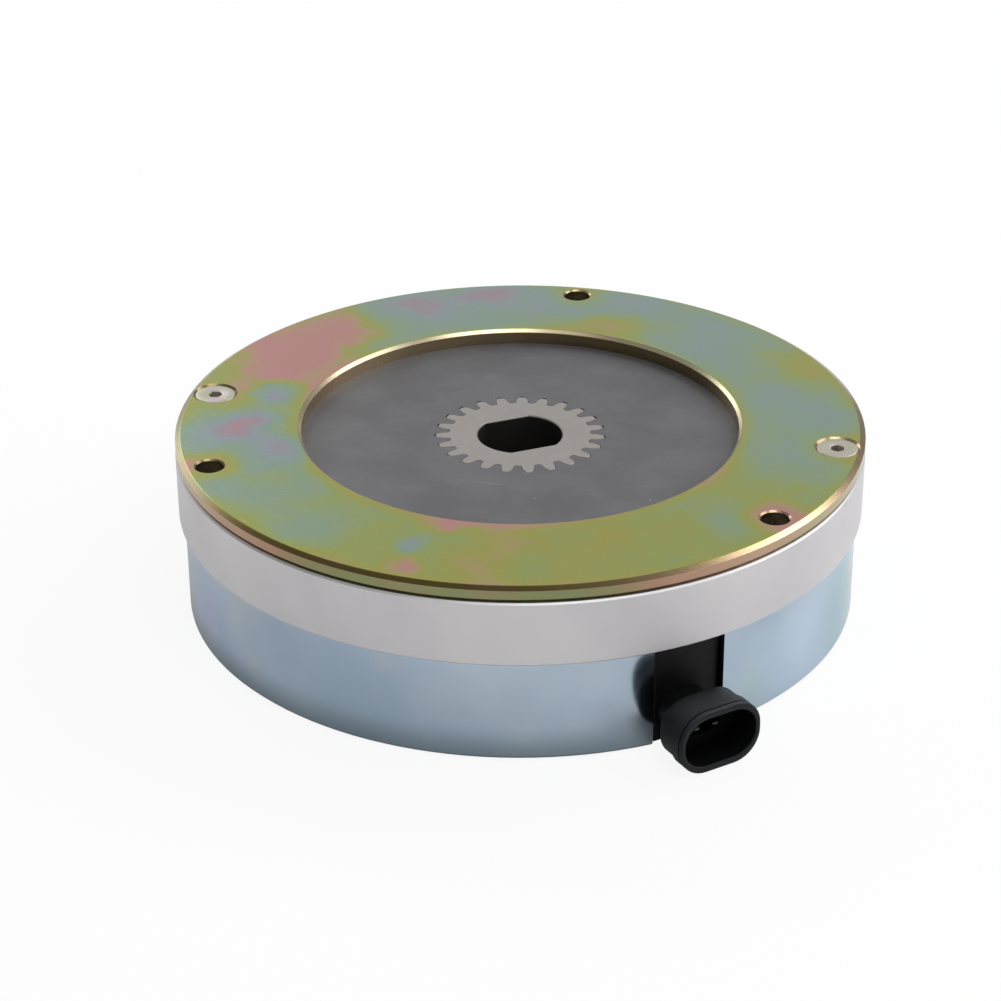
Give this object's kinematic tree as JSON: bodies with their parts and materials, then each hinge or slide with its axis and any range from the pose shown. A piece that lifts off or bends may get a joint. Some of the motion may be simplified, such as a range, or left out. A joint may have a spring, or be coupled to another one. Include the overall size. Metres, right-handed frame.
{
  "type": "electromagnetic spring-applied disc brake",
  "caption": "Round spring-applied electromagnetic brake with a ring-shaped friction plate, a splined hub in a floating disc and a side connector.",
  "frame": {"origin": "on the shaft axis, in the plane of the magnet body's back face", "axes": "+Z along the shaft axis from the back face to the friction plate; +Y through the first mounting hole; the plate screws lie on the X axis"},
  "size_m": [0.1652, 0.1652, 0.0442],
  "materials": {
    "yellow_zinc": "satin yellow passivated zinc plating on machined steel",
    "screw_zinc": "satin zinc plated",
    "ring_aluminium": "turned, bare",
    "friction_lining": "moulded friction compound, ground face",
    "sintered_steel": "matte sintered",
    "armature_steel": "ground and plated",
    "pin_steel": "ground",
    "blue_zinc": "blue-white zinc plating on turned steel",
    "bobbin_plastic": "natural moulded plastic",
    "copper": "enamelled copper wire",
    "potting_resin": "cast resin",
    "black_plastic": "fine moulded texture",
    "tinned_brass": "tin plated",
    "lead_rubber": "insulated lead",
    "spring_steel": "oil tempered wire"
  },
  "bodies": {
    "housing": {"brake_spring_1": "spring_steel", "brake_spring_2": "spring_steel", "brake_spring_3": "spring_steel", "brake_spring_4": "spring_steel", "brake_spring_5": "spring_steel", "brake_spring_6": "spring_steel", "coil_bobbin": "bobbin_plastic", "coil_potting": "potting_resin", "coil_winding": "copper", "connector_housing": "black_plastic", "connector_pin_1": "tinned_brass", "connector_pin_2": "tinned_brass", "friction_plate": "yellow_zinc", "lead_wire_1": "lead_rubber", "lead_wire_2": "lead_rubber", "magnet_body": "blue_zinc", "plate_screw_1": "screw_zinc", "plate_screw_2": "screw_zinc", "spacer_ring": "ring_aluminium", "torque_pin_1": "pin_steel", "torque_pin_2": "pin_steel", "torque_pin_3": "pin_steel"},
    "hub": {"drive_hub": "sintered_steel"},
    "disc": {"friction_disc": "friction_lining"},
    "armature": {"armature_plate": "armature_steel"}
  },
  "joints": [
    {"name": "rotor_spin", "type": "hinge", "parent": "housing", "child": "hub", "pos_m": [0, 0, 0.0327], "axis": [0, 0, 1], "continuous": true},
    {"name": "armature_release", "type": "slide", "parent": "housing", "child": "armature", "axis": [0, 0, -1], "range_m": [0, 0.0003], "stiffness_N_per_m": 152000, "deforming": ["brake_spring_1", "brake_spring_2", "brake_spring_3", "brake_spring_4", "brake_spring_5", "brake_spring_6"]},
    {"name": "disc_float", "type": "slide", "parent": "hub", "child": "disc", "axis": [0, 0, -1], "range_m": [0, 0.00015]}
  ],
  "couplings": [
    {"joint": "disc_float", "follows": "armature_release", "ratio": 0.5}
  ]
}
